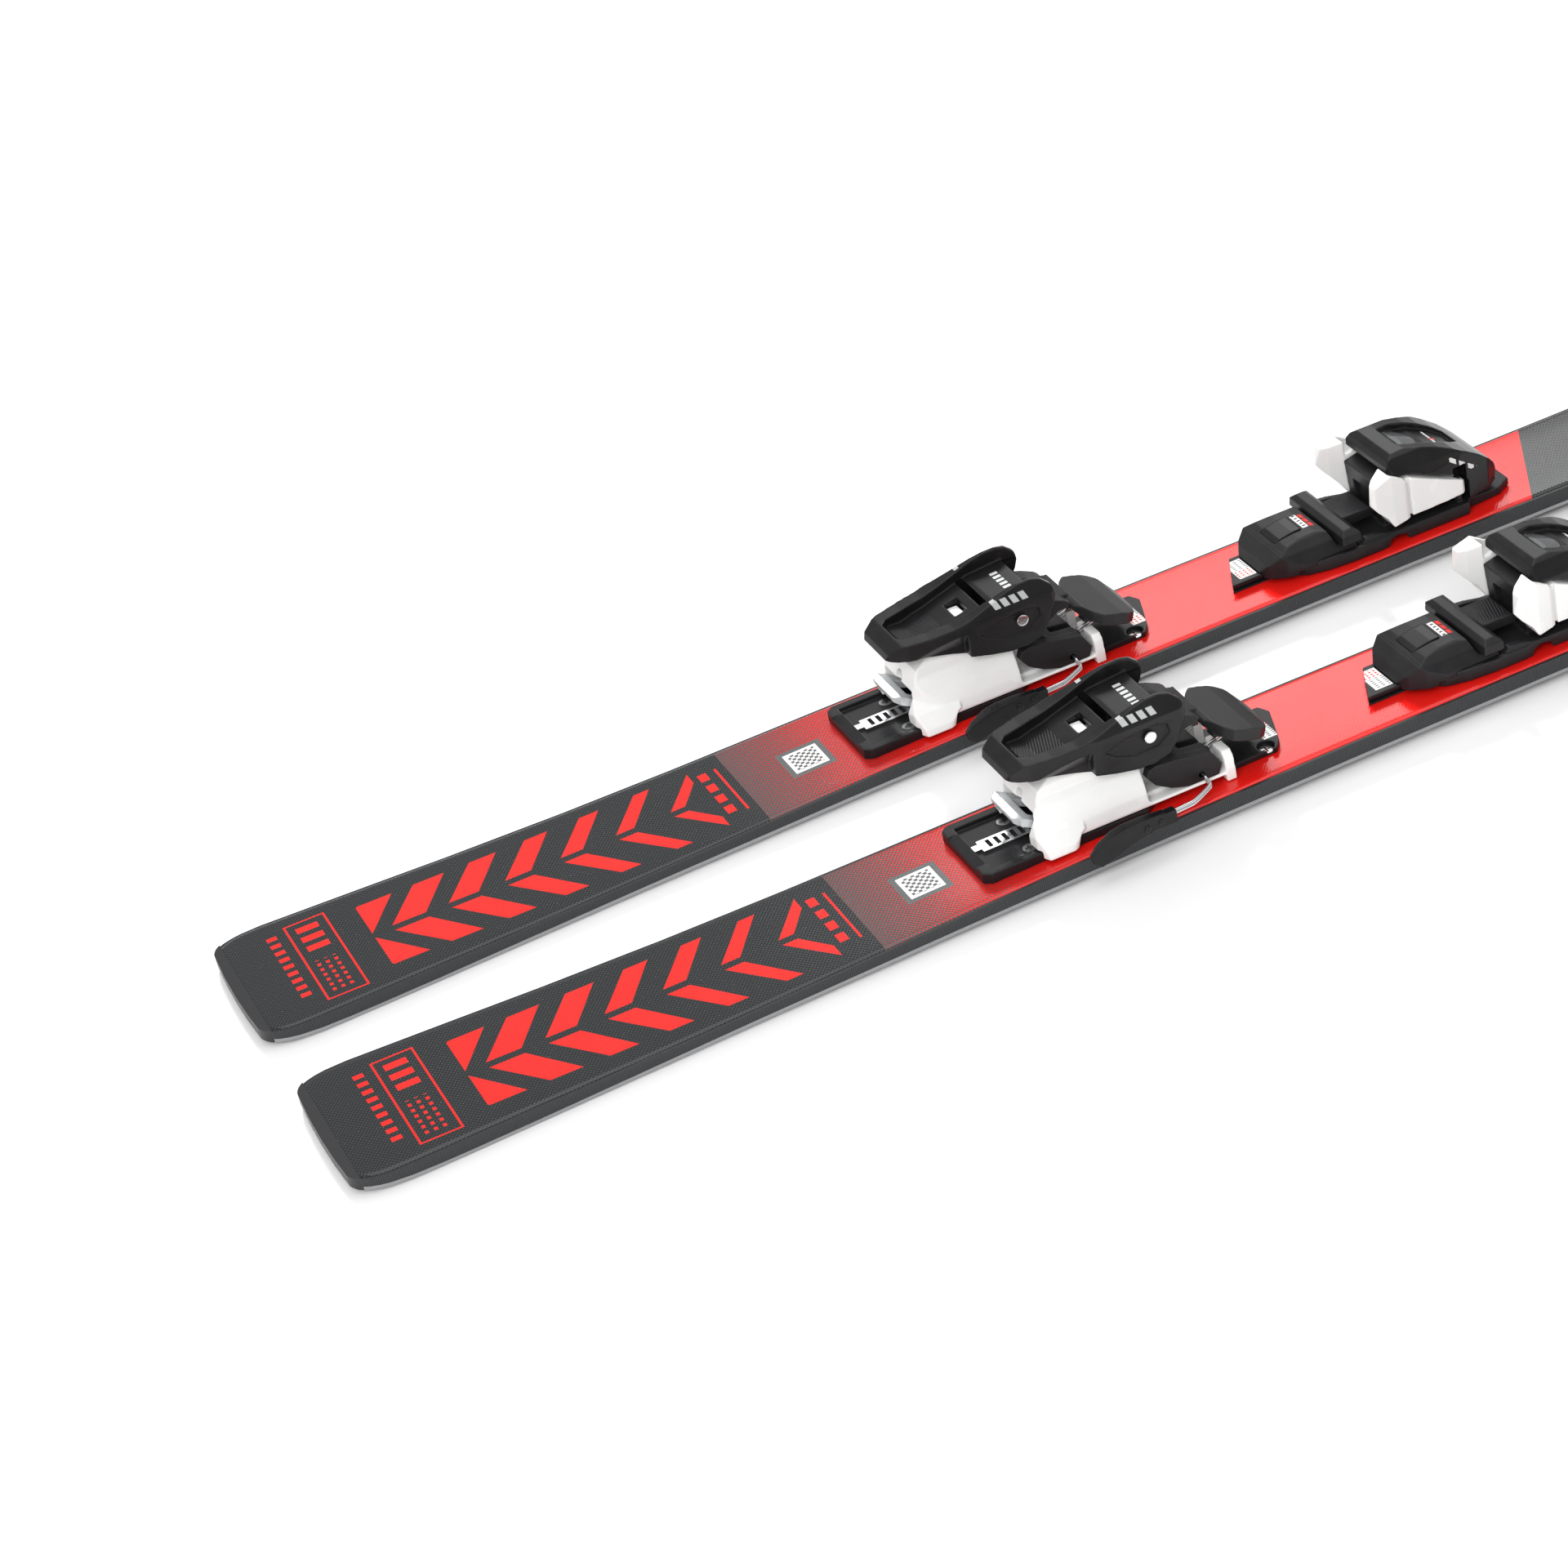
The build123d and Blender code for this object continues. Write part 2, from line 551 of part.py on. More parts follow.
def make_toe_cover(frame):
    top = [(658.5, 57.5), (660.5, 61.2), (664, 63.0), (672, 63.3), (681, 61.8), (690, 59.0), (698, 55.6),
           (706, 51.0), (714, 45.4), (721, 39.0), (726, 32.5), (727.5, 28.0), (725, 23)]
    hood = side([(658.5, 54.5), *top, (717.6, 23.0), (717.6, 39.5), (710, 43.5), (692, 50.0), (664, 52.5)], -28, 28)
    brow = side([(658.5, 54.5), *top, (704.5, 23), (705, 34), (700.5, 38.6), (670, 52.4), (664, 54.4)], -28, 28)
    shape = plan(
        both([(20.5, 658), (24.5, 661), (26.0, 680), (25.4, 700), (22, 718), (14, 727)]), 10, 90
    )
    roof = front(both([(0, 66), (14, 65.0), (20, 61.6), (24.8, 54), (26.8, 44), (26.8, 10)]), 600, 760)
    shell = hood + (brow - box(-18.2, 18.2, 600, 760, 0, 90))
    shell = shell & shape & roof
    window = plan(both([(10.5, 672), (13.2, 679), (13.6, 692), (11.5, 703), (7.0, 709)]), 20, 90)
    slab = side([(671, 63.5), (674, 59.4), (690, 55.4), (703, 49.8), (710, 46.2), (710, 90), (671, 90)], -20, 20)
    shell = shell - (window & slab)
    shell = shell - rod_y(0, TOE_SCREW_Z, 5.2, 700, 740)
    return shell - pair(rod_z(*WING_PIVOT, 5.4, 10, 45)) - frame


def make_wing():
    """The right-hand white wing: a claw that hooks the boot's toe, on an arm to its pivot."""
    claw = side(
        [(642.5, 45), (645, 55.0), (655, 58.5), (663.5, 53.5), (667, 48), (667, 27.8), (655, 27.8), (651.5, 34),
         (646, 40)],
        10, 40,
    )
    claw = claw & plan(
        [(29.0, 642), (31.6, 645), (30.9, 656), (28.8, 664), (27.2, 667), (18.4, 667), (18.4, 655), (22.5, 648)],
        10, 80,
    )
    claw = claw - box(0, 27.4, 655.5, 720, 50.5, 80)
    arm = side([(666, 28.4), (666, 50.0), (669.5, 50.6), (700, 36.8), (704, 34), (704, 28.4)], 10, 40)
    arm = arm & plan(
        [(18.4, 660), (18.4, 699), (19.3, 701.4), (21.5, 702.4), (24.2, 702.0), (26.0, 700), (27.0, 690), (27.6, 671),
         (27.0, 660)],
        10, 80,
    )
    wing = claw + arm
    wing = wing - box(25.2, 40, 666.4, 668.2, 10, 80)
    return wing - rod_z(*WING_PIVOT, 2.0 + CLEAR, 10, 80)


def make_toe_pad():
    """The rear platform that carries the sole's sliding bar."""
    body = side([(582.5, 17.5), (582.0, 20.5), (585, 25.0), (591, 30.0), (597, 32.6), (606, 33.9), (616, 34.0),
                 (621.5, 32.8), (623.5, 26.0), (634, 26.0), (635.5, 19.6), (600, 19.6), (599, 17.5)], -27, 27)
    shape = plan(both([(11, 582), (17.5, 586), (22.5, 594), (25.0, 604), (25.0, 636)]), 0, 60)
    body = body & shape
    body = body & front(both([(0, 35), (12.5, 35), (16.5, 33.4), (21.5, 29.6), (25, 23), (25, 10)]), 570, 640)
    body = body + box(-22, 22, 600, 634, 19.5, 22.0)
    body = body - box(-TOE_TRACK_HALF - GAP, TOE_TRACK_HALF + GAP, 560, 650, 0, TOE_TRACK_TOP + GAP)
    body = body - box(-8.2, 8.2, 594.8, 611.2, 23.5, 50)
    return body - box(-9.6, 9.6, 622, 640, 22.0, 50)


def make_release_tab():
    tab = side([(595.1, 25.6), (595.1, 31.6), (598, 33.0), (606, 34.4), (610.9, 34.6), (610.9, 25.6)], -7.9, 7.9)
    return tab


def make_afd_bar():
    bar = side([(624.2, 27.2), (624.6, 32.0), (627, 34.4), (632, 34.6), (635.2, 32.5), (635.6, 27.2)], -29, 29)
    bar = bar & front(both([(0, 36), (25, 34.8), (28.8, 32.0), (29, 27.4), (27, 26.0)]), 600, 650)
    bar = bar & box(-40, 40, 600, 650, 26.4, 50)
    tongue = side([(634, 27.2), (634, 33.0), (651.5, 33.0), (653.4, 31.0), (653.4, 27.2)], -11.0, 11.0)
    return bar + tongue


def make_toe_screw():
    y1 = TOE_SPRING[1]
    stem = rod_y(0, TOE_SCREW_Z, 4.5, y1 + 1.4, 724.0)
    slot = box(-5, 5, 722.6, 725, TOE_SCREW_Z - 0.6, TOE_SCREW_Z + 0.6)
    return stem - slot


# ---- Everything on one ski ----
def make_binding(envelope, blank_screws):
    arms = make_brake_arms()
    link = make_brake_link()
    wing = make_wing()
    frame = make_toe_frame()
    return {
        "heel_track": make_heel_track(envelope, blank_screws),
        "heel_ladder": make_ladder(),
        "heel_housing": make_heel_housing(),
        "heel_latch": make_latch(),
        "heel_cup": make_cup(),
        "heel_lever": make_lever(),
        "lever_rivet": make_rivet(),
        "heel_spring": spring(*HEEL_SPRING, 4.4, 0.9, 7),
        "heel_screw": make_heel_screw(),
        "brake_base": make_brake_base(),
        "brake_arms": Compound(children=[*arms.solids(), link]),
        "brake_pad": make_pad(arms) - link,
        "brake_blades": make_blades(arms),
        "toe_track": make_toe_track(envelope, blank_screws),
        "toe_frame": frame,
        "toe_cover": make_toe_cover(frame),
        "wing_right": wing,
        "wing_left": mirrored(wing),
        "toe_spring": spring(*TOE_SPRING, 5.4, 1.1, 7),
        "toe_screw": make_toe_screw(),
        "toe_pad": make_toe_pad(),
        "release_tab": make_release_tab(),
        "afd_bar": make_afd_bar(),
    }


def main():
    os.makedirs("parts", exist_ok=True)
    screws, blank_screws = make_screws()
    nodes = make_ski(blank_screws)
    nodes["mounting_screws"] = screws
    nodes.update(make_binding(skyline(0.0), blank_screws))
    for foot, x in (("left", -SPACING / 2), ("right", SPACING / 2)):
        for name, shape in nodes.items():
            export_step(Pos(x, -LENGTH / 2, 0) * shape, f"parts/{foot}_{name}.step")


main()
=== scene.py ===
import json
import math

import bmesh
import bpy
from mathutils import Matrix, Vector
from mathutils.bvhtree import BVHTree


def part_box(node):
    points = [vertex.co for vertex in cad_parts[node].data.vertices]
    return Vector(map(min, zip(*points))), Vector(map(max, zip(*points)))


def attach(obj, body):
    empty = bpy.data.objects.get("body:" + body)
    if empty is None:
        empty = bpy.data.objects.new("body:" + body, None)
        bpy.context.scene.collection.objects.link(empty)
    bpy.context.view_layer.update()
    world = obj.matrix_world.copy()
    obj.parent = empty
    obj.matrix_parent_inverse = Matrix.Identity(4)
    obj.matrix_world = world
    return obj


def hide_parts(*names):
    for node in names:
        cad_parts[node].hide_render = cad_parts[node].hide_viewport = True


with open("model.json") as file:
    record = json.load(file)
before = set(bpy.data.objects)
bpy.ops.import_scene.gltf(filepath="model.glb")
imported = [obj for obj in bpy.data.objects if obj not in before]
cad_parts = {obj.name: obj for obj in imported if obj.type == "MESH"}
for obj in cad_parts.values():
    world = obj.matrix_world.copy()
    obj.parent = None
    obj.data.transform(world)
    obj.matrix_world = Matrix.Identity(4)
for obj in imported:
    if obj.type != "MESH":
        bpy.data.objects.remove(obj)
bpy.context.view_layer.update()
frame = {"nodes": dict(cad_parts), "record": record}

# ---- Places, in metres in the shared frame. On a ski, x starts at its centre line and y at its tail ----
MM = 0.001
FEET = {"left": -0.070, "right": 0.070}
HALF_LENGTH = 0.750


def at(foot, x, y, z):
    """The place of a point that is given in millimetres on a ski."""
    return Vector((FEET[foot] + x * MM, y * MM - HALF_LENGTH, z * MM))


# ---- Node graphs ----
class Graph:
    """A short way to write a material's nodes. Values are numbers or sockets."""

    def __init__(self, name):
        self.material = bpy.data.materials.new(name)
        self.material.use_nodes = True
        self.tree = self.material.node_tree
        self.shader = self.tree.nodes["Principled BSDF"]

    def link(self, value, socket):
        if isinstance(value, bpy.types.NodeSocket):
            self.tree.links.new(value, socket)
        else:
            socket.default_value = value

    def node(self, kind, **settings):
        node = self.tree.nodes.new(kind)
        for key, value in settings.items():
            setattr(node, key, value)
        return node

    def math(self, operation, *values):
        node = self.node("ShaderNodeMath", operation=operation)
        for value, socket in zip(values, node.inputs):
            self.link(value, socket)
        return node.outputs[0]

    def mul(self, a, b):
        return self.math("MULTIPLY", a, b)

    def add(self, a, b):
        return self.math("ADD", a, b)

    def both(self, *masks):
        """1 where all of the masks are."""
        result = masks[0]
        for mask in masks[1:]:
            result = self.math("MULTIPLY", result, mask)
        return result

    def over(self, value, limit):
        return self.math("GREATER_THAN", value, limit)

    def under(self, value, limit):
        return self.math("LESS_THAN", value, limit)

    def within(self, value, low, high):
        return self.both(self.over(value, low), self.under(value, high))

    def ramp(self, value, low, high):
        """0 at low and 1 at high, clamped."""
        node = self.node("ShaderNodeMapRange")
        for socket, number in zip(node.inputs, (value, low, high, 0.0, 1.0)):
            self.link(number, socket)
        return node.outputs[0]

    def mix(self, factor, a, b):
        node = self.node("ShaderNodeMix", data_type="RGBA")
        self.link(factor, node.inputs["Factor"])
        for value, socket in ((a, node.inputs[6]), (b, node.inputs[7])):
            self.link((*value, 1) if isinstance(value, tuple) else value, socket)
        return node.outputs[2]

    def place(self):
        """The object's own coordinates, in metres."""
        return self.node("ShaderNodeTexCoord").outputs["Object"]

    def xyz(self, vector):
        node = self.node("ShaderNodeSeparateXYZ")
        self.link(vector, node.inputs[0])
        return node.outputs[:3]

    def on_ski(self, foot):
        """x and y on the ski and z over the floor, in millimetres."""
        x, y, z = self.xyz(self.place())
        return (
            self.mul(self.math("SUBTRACT", x, FEET[foot]), 1000.0),
            self.mul(self.add(y, HALF_LENGTH), 1000.0),
            self.mul(z, 1000.0),
        )

    def on_either_ski(self):
        """The same, where x is the distance outwards of the pair from the ski's centre line."""
        x, y, z = self.xyz(self.place())
        return (
            self.mul(self.math("SUBTRACT", self.math("ABSOLUTE", x), FEET["right"]), 1000.0),
            self.mul(self.add(y, HALF_LENGTH), 1000.0),
            self.mul(z, 1000.0),
        )

    def wave(self, value, pitch):
        """A sine wave, from -1 to 1."""
        return self.math("SINE", self.mul(value, 2 * math.pi / pitch))

    def stripes(self, value, start, pitch, share):
        """1 on the first share of each pitch from start."""
        return self.under(self.math("FRACT", self.mul(self.add(value, -start), 1 / pitch)), share)

    def any(self, *masks):
        """1 where one of the masks is."""
        result = masks[0]
        for mask in masks[1:]:
            result = self.math("MAXIMUM", result, mask)
        return result

    def noise(self, grain, detail=2.0, vector=None):
        """Noise whose lumps are about grain metres wide."""
        node = self.node("ShaderNodeTexNoise")
        self.link(vector or self.place(), node.inputs["Vector"])
        node.inputs["Scale"].default_value = 1.0 / grain
        node.inputs["Detail"].default_value = detail
        return node.outputs["Fac"]

    def bump(self, height, depth, strength=1.0):
        node = self.node("ShaderNodeBump")
        node.inputs["Strength"].default_value = strength
        node.inputs["Distance"].default_value = depth
        self.link(height, node.inputs["Height"])
        return node.outputs[0]

    def finish(self, **sockets):
        for key, value in sockets.items():
            value = (*value, 1) if isinstance(value, tuple) and len(value) == 3 else value
            self.link(value, self.shader.inputs[key.replace("_", " ")])
        return self.material


GRAIN_SIZE = 0.0005
GRAIN_DEPTH = 0.00003


def moulded_plastic(name, color, rough, patterns=None, prints=None):
    """Plastic from a mould: a fine grain, a sheen that varies a little, worn edges and moulded patterns.

    patterns gives the height of the pattern moulded in, and prints a list of masks and colours.
    """
    g = Graph(name)
    patches = g.noise(0.012, 3.0)
    fine = g.noise(GRAIN_SIZE, 2.0)
    worn = g.ramp(g.node("ShaderNodeNewGeometry").outputs["Pointiness"], 0.505, 0.56)
    lighter = tuple(c * 1.3 + 0.002 for c in color)
    scuffed = tuple(c * 1.8 + 0.006 for c in color)
    tone = g.mix(worn, g.mix(g.ramp(patches, 0.35, 0.7), color, lighter), scuffed)
    height = fine
    if patterns:
        height = g.add(g.mul(fine, 0.4), g.mul(patterns(g), 2.2))
    for mask, ink in prints(g) if prints else ():
        tone = g.mix(mask, tone, ink)
    return g.finish(
        Base_Color=tone,
        Roughness=g.add(g.mul(patches, 0.3 * rough), rough * 0.85),
        Normal=g.bump(height, GRAIN_DEPTH),
        Specular_IOR_Level=0.3,
    )


# ---- Patterns moulded into the plastics and marks printed on them, in millimetres on the ski ----
def dots(g, a, b, pitch):
    """Crossed waves, which make rows of dots in the plane of a and b."""
    return g.mul(g.wave(g.add(a, b), pitch), g.wave(g.math("SUBTRACT", a, b), pitch))


def lever_pattern(g):
    x, y, z = g.on_either_ski()
    side = g.math("ABSOLUTE", x)
    floor = g.both(g.within(y, 379.0, 402.0), g.under(side, 15.0), g.under(z, 62.2))
    ribs = g.mul(g.wave(g.add(y, g.mul(x, 0.35)), 1.5), floor)
    recess = g.both(g.over(side, 23.6), g.within(y, 414.0, 452.0), g.within(z, 48.0, 63.2))
    return g.add(ribs, g.mul(dots(g, y, z, 1.5), recess))


def lever_prints(g):
    x, y, z = g.on_either_ski()
    side = g.math("ABSOLUTE", x)
    along = g.add(y, g.mul(z, 0.4))
    slope = g.both(g.over(side, 20.2), g.within(z, 68.2, 72.4))
    bars = g.both(slope, g.within(along, 454.0, 474.0), g.stripes(along, 454.0, 5.2, 0.66))
    deck = g.both(
        g.under(side, 12.0), g.within(y, 440.0, 444.2), g.over(z, 66.0), g.stripes(x, -12.0, 4.0, 0.6),
    )
    return [(bars, (0.42, 0.43, 0.43)), (deck, (0.55, 0.56, 0.56))]


def housing_pattern(g):
    x, y, z = g.on_either_ski()
    side = g.math("ABSOLUTE", x)
    lean = g.add(y, g.mul(z, -0.7))
    band = g.both(g.over(side, 17.0), g.mul(g.ramp(lean, 372.0, 382.0), g.ramp(lean, 400.0, 392.0)))
    return g.mul(dots(g, y, z, 1.3), band)


def base_pattern(g):
    x, y, z = g.on_either_ski()
    top = g.both(g.within(y, 437.0, 474.0), g.over(z, 30.0))
    return g.mul(dots(g, y, x, 1.5), top)


def toe_pattern(g):
    x, y, z = g.on_either_ski()
    side = g.math("ABSOLUTE", x)
    tail = g.both(g.within(y, 582.0, 594.0), g.over(z, 21.0))
    tongue = g.both(g.within(y, 636.5, 650.5), g.under(side, 9.4), g.over(z, 31.5))
    ribs = g.wave(g.add(y, g.mul(x, 0.3)), 1.6)
    return g.add(g.mul(dots(g, x, z, 1.4), tail), g.mul(ribs, tongue))


def toe_prints(g):
    x, y, z = g.on_either_ski()
    top = g.over(z, 33.2)
    white = g.both(top, g.within(y, 612.8, 616.2), g.within(x, -7.5, 7.5))
    notches = g.both(white, g.within(y, 613.6, 615.4), g.stripes(x, -6.0, 3.0, 0.45))
    red = g.both(top, g.within(y, 617.0, 619.4), g.within(x, -7.5, 7.5), g.stripes(x, -7.5, 5.2, 0.8))
    return [(white, (0.72, 0.72, 0.71)), (notches, (0.05, 0.05, 0.05)), (red, (0.60, 0.02, 0.015))]


def cover_prints(g):
    x, y, z = g.on_either_ski()
    side = g.math("ABSOLUTE", x)
    flank = g.both(g.over(side, 22.0), g.within(y, 694.0, 712.0), g.within(z, 40.0, 52.0))
    slant = g.add(z, g.mul(g.add(y, -700.0), 0.75))
    bars = g.both(flank, g.within(slant, 45.4, 48.4), g.stripes(y, 694.0, 5.6, 0.68))
    under_pane = g.under(g.add(z, g.mul(g.add(y, -674.0), 0.333)), 60.1)
    basin = g.both(g.under(side, 12.6), g.within(y, 677.0, 707.0), under_pane)
    ticks = g.both(basin, g.within(y, 684.0, 697.0), g.within(side, 0.0, 9.5), g.stripes(x, -9.5, 2.4, 0.24))
    ruler = g.both(basin, g.within(y, 697.0, 698.2), g.under(side, 9.5))
    pointer = g.both(basin, g.within(y, 686.0, 700.0), g.within(x, -1.4, 0.4))
    return [
        (bars, (0.70, 0.70, 0.69)),
        (g.any(ticks, ruler), (0.62, 0.62, 0.61)),
        (pointer, (0.60, 0.03, 0.02)),
    ]


def track_prints(g):
    x, y, z = g.on_either_ski()
    rear = g.both(g.within(x, -9.6, 9.6), g.within(y, 571.5, 581.5), g.over(z, 19.6))
    ahead = g.both(g.within(x, -9.6, 9.6), g.within(y, 507.0, 515.0), g.over(z, 17.9))
    label = g.any(rear, ahead)
    rows = g.both(g.stripes(y, 507.2, 3.15, 0.5), g.stripes(x, -9.6, 1.7, 0.5), g.within(x, -1.0, 9.0))
    red = g.both(g.within(x, -9.0, -2.0), g.stripes(y, 507.2, 2.4, 0.5), g.stripes(x, -9.6, 2.1, 0.6))
    return [
        (label, (0.74, 0.74, 0.73)),
        (g.both(label, rows), (0.10, 0.10, 0.10)),
        (g.both(label, red), (0.62, 0.03, 0.02)),
    ]


def metal(name, color, rough):
    """Drawn or rolled metal, its grain stretched along Y."""
    g = Graph(name)
    mapping = g.node("ShaderNodeMapping")
    g.link(g.place(), mapping.inputs["Vector"])
    mapping.inputs["Scale"].default_value = (1.0, 0.05, 1.0)
    lines = g.noise(0.0002, 3.0, mapping.outputs[0])
    return g.finish(
        Base_Color=g.mix(lines, tuple(c * 0.85 for c in color), color),
        Metallic=1.0,
        Roughness=g.add(g.mul(lines, rough * 0.6), rough * 0.7),
        Normal=g.bump(lines, 0.00001, 0.5),
    )


MIDDLE_FROM = 281.0            # where the dark tail ends and the red starts to fade in
CHEVRONS = (76.0, 262.0)


def topsheet_material(foot):
    """Dark tail with red chevrons, red under the binding, dark front with a red band; all on a fine weave."""
    g = Graph(f"topsheet_{foot}")
    x, y, z = g.on_ski(foot)
    weave = g.mul(g.wave(x, 2.6), g.wave(y, 2.2))
    charcoal, ash = (0.012, 0.013, 0.014), (0.040, 0.043, 0.045)
    red, deep_red = (0.66, 0.010, 0.007), (0.42, 0.008, 0.007)
    dark = g.mix(g.ramp(weave, 0.1, 0.9), charcoal, ash)
    share = g.add(g.mul(g.ramp(y, MIDDLE_FROM, 385.0), 1.75), 0.35)
    halftone = g.over(g.add(weave, share), 1.0)
    grey = (0.055, 0.060, 0.060)
    middle = g.mix(halftone, grey, g.mix(g.ramp(y, MIDDLE_FROM, 400.0), deep_red, red))
    color = g.mix(g.over(y, MIDDLE_FROM), dark, middle)
    # Chevrons on the tail, which thin out towards the binding.
    side = g.math("ABSOLUTE", x)
    along = g.add(y, g.mul(side, -0.75))
    duty = g.add(g.mul(g.ramp(y, CHEVRONS[0] + 2.0, CHEVRONS[1]), -0.42), 0.66)
    chevrons = g.both(g.stripes(along, 54.0, 31.0, duty), g.within(side, 2.4, 30.5), g.within(y, *CHEVRONS))
    # The size box, with bars where the figures would be.
    frame_line = g.both(
        g.within(x, -37.5, 38.5), g.within(y, 38.5, 61.0),
        g.math("SUBTRACT", 1.0, g.both(g.within(x, -36.3, 37.3), g.within(y, 39.7, 59.8))),
    )
    big = g.both(g.within(x, -32.0, -4.0), g.within(y, 43.5, 55.5), g.stripes(x, -32.0, 9.4, 0.55))
    small_dashes = g.both(g.stripes(x, 0.0, 5.0, 0.5), g.stripes(y, 43.5, 4.6, 0.42))
    small = g.both(g.within(x, 2.0, 33.0), g.within(y, 43.5, 56.5), small_dashes)
    # Bars behind the box, and a row of bars with a line at the end of the chevrons.
    behind_box = g.both(g.within(x, -33.0, 31.0), g.within(y, 28.0, 33.5), g.stripes(x, -33.0, 7.2, 0.5))
    row = g.both(g.within(x, -24.0, 22.0), g.within(y, 265.5, 270.5), g.stripes(x, -24.0, 12.0, 0.62))
    thin_line = g.both(g.within(x, -24.0, 22.0), g.within(y, 275.0, 276.4))
    printed = g.any(chevrons, frame_line, big, small, behind_box, row, thin_line)
    color = g.mix(printed, color, (0.60, 0.012, 0.008))
    # The square label, a plain checker.
    label_border = g.both(g.within(x, -12.5, 13.5), g.within(y, 305.5, 330.5))
    label = g.both(g.within(x, -9.5, 10.5), g.within(y, 308.5, 327.5))
    checker = g.over(g.mul(g.wave(x, 4.0), g.wave(y, 4.0)), 0.0)
    pattern = g.both(checker, g.within(x, -7.6, 8.6), g.within(y, 310.4, 325.6))
    color = g.mix(label_border, color, (0.09, 0.095, 0.095))
    color = g.mix(label, color, (0.75, 0.75, 0.74))
    color = g.mix(pattern, color, (0.10, 0.10, 0.10))
    # Ahead of the toe unit the red ends at an oblique line, and a red band lies near the tip.
    oblique = g.add(y, g.mul(x, 0.5))
    front = g.over(oblique, 753.0)
    stripe = g.within(oblique, 1180.0, 1262.0)
    front_color = g.mix(stripe, dark, g.mix(halftone, deep_red, red))
    color = g.mix(front, color, front_color)
    lacquer = g.add(g.mul(g.noise(0.02, 2.0), 0.06), 0.17)
    return g.finish(
        Base_Color=color,
        Roughness=lacquer,
        Normal=g.bump(weave, 0.00005, 0.5),
        Specular_IOR_Level=0.42,
        Coat_Weight=0.15,
        Coat_Roughness=0.08,
    )


def sidewall_material():
    g = Graph("sidewall")
    lines = g.wave(g.xyz(g.place())[1], 1.1 * MM)
    wander = g.noise(0.003, 3.0)
    # The lighter stripes along the hatch lines are painted highlights on their ridges; the wander noise adds
    # random tone.
    hatch_highlight_and_tone = g.ramp(g.add(lines, wander), 0.4, 1.6)
    return g.finish(
        Base_Color=g.mix(hatch_highlight_and_tone, (0.010, 0.011, 0.012), (0.035, 0.037, 0.040)),
        Roughness=g.add(g.mul(wander, 0.2), 0.30),
        Normal=g.bump(lines, 0.00004, 0.6),
    )


def sole_material():
    g = Graph("ski_base")
    lines = g.noise(0.0006, 3.0)
    return g.finish(
        Base_Color=g.mix(lines, (0.012, 0.012, 0.014), (0.03, 0.03, 0.034)),
        Roughness=g.add(g.mul(lines, 0.25), 0.35),
        Normal=g.bump(lines, 0.00002, 0.5),
    )


def wood_material():
    g = Graph("wood_core")
    mapping = g.node("ShaderNodeMapping")
    g.link(g.place(), mapping.inputs["Vector"])
    mapping.inputs["Scale"].default_value = (1.0, 0.04, 1.0)
    rings = g.noise(0.006, 4.0, mapping.outputs[0])
    return g.finish(Base_Color=g.mix(rings, (0.42, 0.28, 0.14), (0.66, 0.50, 0.30)), Roughness=0.7)


def clear_material(name, through, rough):
    """Clear plastic that lets through a share of the light."""
    g = Graph(name)
    cloud = g.noise(0.008, 2.0)
    return g.finish(
        Base_Color=g.mix(cloud, (0.74, 0.77, 0.78), (0.86, 0.88, 0.89)),
        Roughness=g.add(g.mul(cloud, 0.06), rough),
        IOR=1.49,
        Transmission_Weight=through,
        Normal=g.bump(cloud, 0.00005, 0.3),
    )


def white_material(name, patterns=None):
    """Glossy white plastic, with the height of a moulded pattern where there is one."""
    g = Graph(name)
    patches = g.noise(0.02, 2.0)
    fine = g.noise(0.0008, 2.0)
    height = g.add(g.mul(fine, 0.3), g.mul(patterns(g), 1.6)) if patterns else fine
    return g.finish(
        Base_Color=g.mix(patches, (0.76, 0.76, 0.75), (0.84, 0.84, 0.83)),
        Roughness=g.add(g.mul(patches, 0.08), 0.22),
        Normal=g.bump(height, 0.00003, 0.6),
        Coat_Weight=0.25,
        Coat_Roughness=0.1,
        Subsurface_Weight=0.06,
        Subsurface_Scale=0.002,
    )


MATERIALS = {
    "ski_base": sole_material(),
    "steel_edge": metal("steel_edge", (0.42, 0.42, 0.43), 0.3),
    "sidewall": sidewall_material(),
    "wood_core": wood_material(),
    "end_guard": moulded_plastic("end_guard", (0.012, 0.012, 0.013), 0.38),
    "screw_steel": metal("screw_steel", (0.5, 0.5, 0.5), 0.3),
    "track_plastic": moulded_plastic("track_plastic", (0.007, 0.007, 0.008), 0.36, prints=track_prints),
    "ladder_chrome": metal("ladder_chrome", (0.72, 0.72, 0.73), 0.16),
    "housing_white": white_material("housing_white", housing_pattern),
    "clear_latch": clear_material("clear_latch", 0.6, 0.12),
    "cup_black": moulded_plastic("cup_black", (0.008, 0.008, 0.009), 0.45, patterns=base_pattern),
    "lever_black": moulded_plastic(
        "lever_black", (0.0065, 0.0065, 0.0072), 0.32, patterns=lever_pattern, prints=lever_prints,
    ),
    "rivet_steel": metal("rivet_steel", (0.78, 0.78, 0.79), 0.12),
    "spring_steel": metal("spring_steel", (0.4, 0.4, 0.41), 0.35),
    "wire_chrome": metal("wire_chrome", (0.8, 0.8, 0.81), 0.12),
    "pad_black": moulded_plastic("pad_black", (0.014, 0.014, 0.015), 0.42),
    "blade_black": moulded_plastic("blade_black", (0.006, 0.006, 0.007), 0.28),
    "frame_black": moulded_plastic(
        "frame_black", (0.010, 0.010, 0.011), 0.40, patterns=toe_pattern, prints=toe_prints,
    ),
    "cover_black": moulded_plastic("cover_black", (0.0065, 0.0065, 0.0072), 0.30, prints=cover_prints),
    "wing_white": white_material("wing_white"),
}
TOPSHEETS = {foot: topsheet_material(foot) for foot in FEET}


